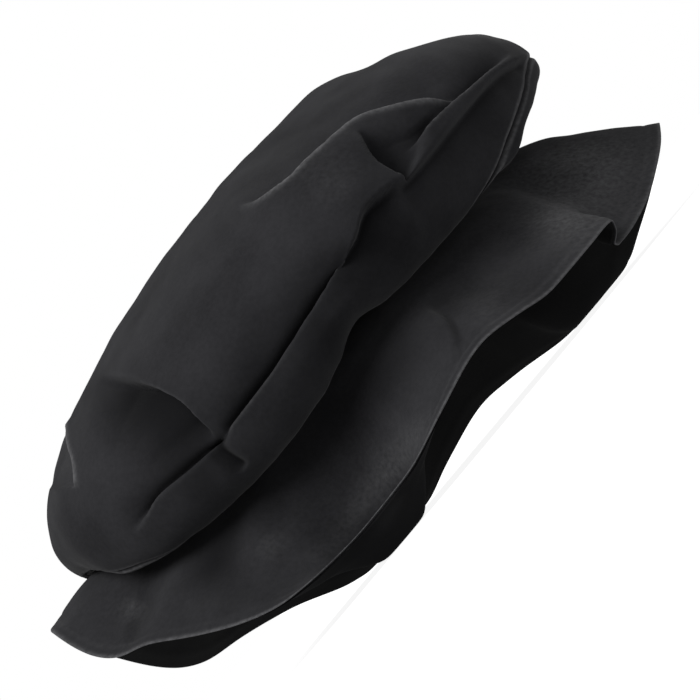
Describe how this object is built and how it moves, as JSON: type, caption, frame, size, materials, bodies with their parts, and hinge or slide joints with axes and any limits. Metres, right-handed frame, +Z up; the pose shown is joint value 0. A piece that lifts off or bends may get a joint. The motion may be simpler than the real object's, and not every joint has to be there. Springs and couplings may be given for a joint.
{
  "type": "tudor hat",
  "caption": "Soft black tudor hat with a wide, puffed and folded crown over a broad brim that droops in waves.",
  "frame": {"origin": "on the surface that the hat stands on, in the middle of its footprint", "axes": "+Z up through the crown, +X towards the lower end of the brim and along the hat's length, -Y towards the side with the crown's open folds and the brim's sharp wave"},
  "size_m": [0.3689, 0.3443, 0.1724],
  "materials": {
    "crown_cloth": "short soft nap, matt",
    "brim_cloth": "short soft nap, matt",
    "facing_cloth": "plain dark cloth, matt"
  },
  "bodies": {
    "root": {"crown_tip": "crown_cloth", "crown_side": "crown_cloth", "brim_top": "brim_cloth", "brim_facing": "facing_cloth"}
  },
  "joints": []
}
